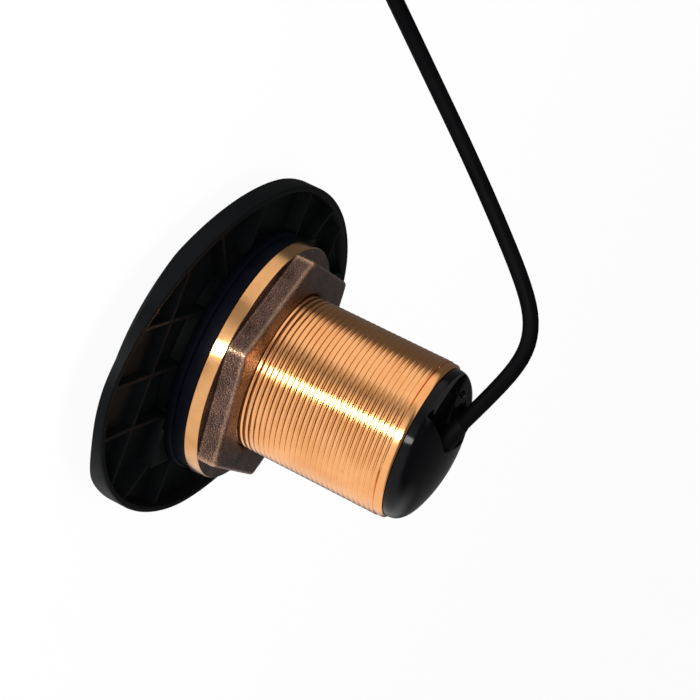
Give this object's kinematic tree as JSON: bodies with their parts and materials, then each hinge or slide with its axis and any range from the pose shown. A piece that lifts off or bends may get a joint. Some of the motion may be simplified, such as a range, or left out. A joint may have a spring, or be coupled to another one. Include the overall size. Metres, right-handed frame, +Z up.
{
  "type": "sonar transducer",
  "caption": "Through-hull sonar transducer with an oval ribbed flange, a threaded bronze stem, a hull nut on washers, a domed end cap and a coiled cable with a plug.",
  "frame": {"origin": "middle of the acoustic face, on the surface that the transducer stands on", "axes": "+Z up along the stem towards the cap, +X along the flange's length, +Y towards the side that the cable leaves by"},
  "size_m": [0.193, 0.3489, 0.1181],
  "materials": {
    "moulded_nylon": "moulded satin black",
    "cast_urethane": "cast smooth black",
    "piezo_ceramic": "fired matte",
    "machined_bronze": "machined",
    "cork": "pressed",
    "stainless_steel": "plain",
    "black_rubber": "matte",
    "washer_nylon": "moulded satin",
    "cast_bronze": "sand cast with a machined foot",
    "gloss_black": "gloss",
    "board_green": "solder mask",
    "copper_winding": "enamelled wire",
    "capacitor_red": "dipped",
    "wire_white": "insulation",
    "cable_sheath": "matte sheath",
    "tie_fabric": "woven strap",
    "connector_nylon": "moulded satin",
    "contact_brass": "plated"
  },
  "bodies": {
    "transducer": {"flange_housing": "moulded_nylon", "acoustic_window": "cast_urethane", "piezo_disc": "piezo_ceramic", "piezo_bar_down": "piezo_ceramic", "piezo_bar_port": "piezo_ceramic", "piezo_bar_starboard": "piezo_ceramic", "temperature_probe": "machined_bronze", "backing_sheet": "cork", "bronze_stem": "machined_bronze", "foot_screws": "stainless_steel", "stem_o_ring": "black_rubber", "rubber_gasket": "black_rubber", "hull_washer": "washer_nylon", "end_cap": "gloss_black", "cap_o_ring": "black_rubber", "cable_grommet": "black_rubber", "circuit_board": "board_green", "matching_transformer": "copper_winding", "film_capacitor": "capacitor_red", "element_leads": "wire_white", "core_leads": "wire_white", "cable": "cable_sheath", "cable_coil": "cable_sheath", "cable_tail": "cable_sheath", "coil_tie": "tie_fabric", "connector_boot": "black_rubber", "connector_body": "connector_nylon", "connector_collar": "connector_nylon", "connector_pins": "contact_brass"},
    "hull_nut": {"hull_nut": "cast_bronze"}
  },
  "joints": [
    {"name": "nut_travel", "type": "slide", "parent": "transducer", "child": "hull_nut", "axis": [0, 0, 1], "range_m": [0, 0.05]}
  ]
}
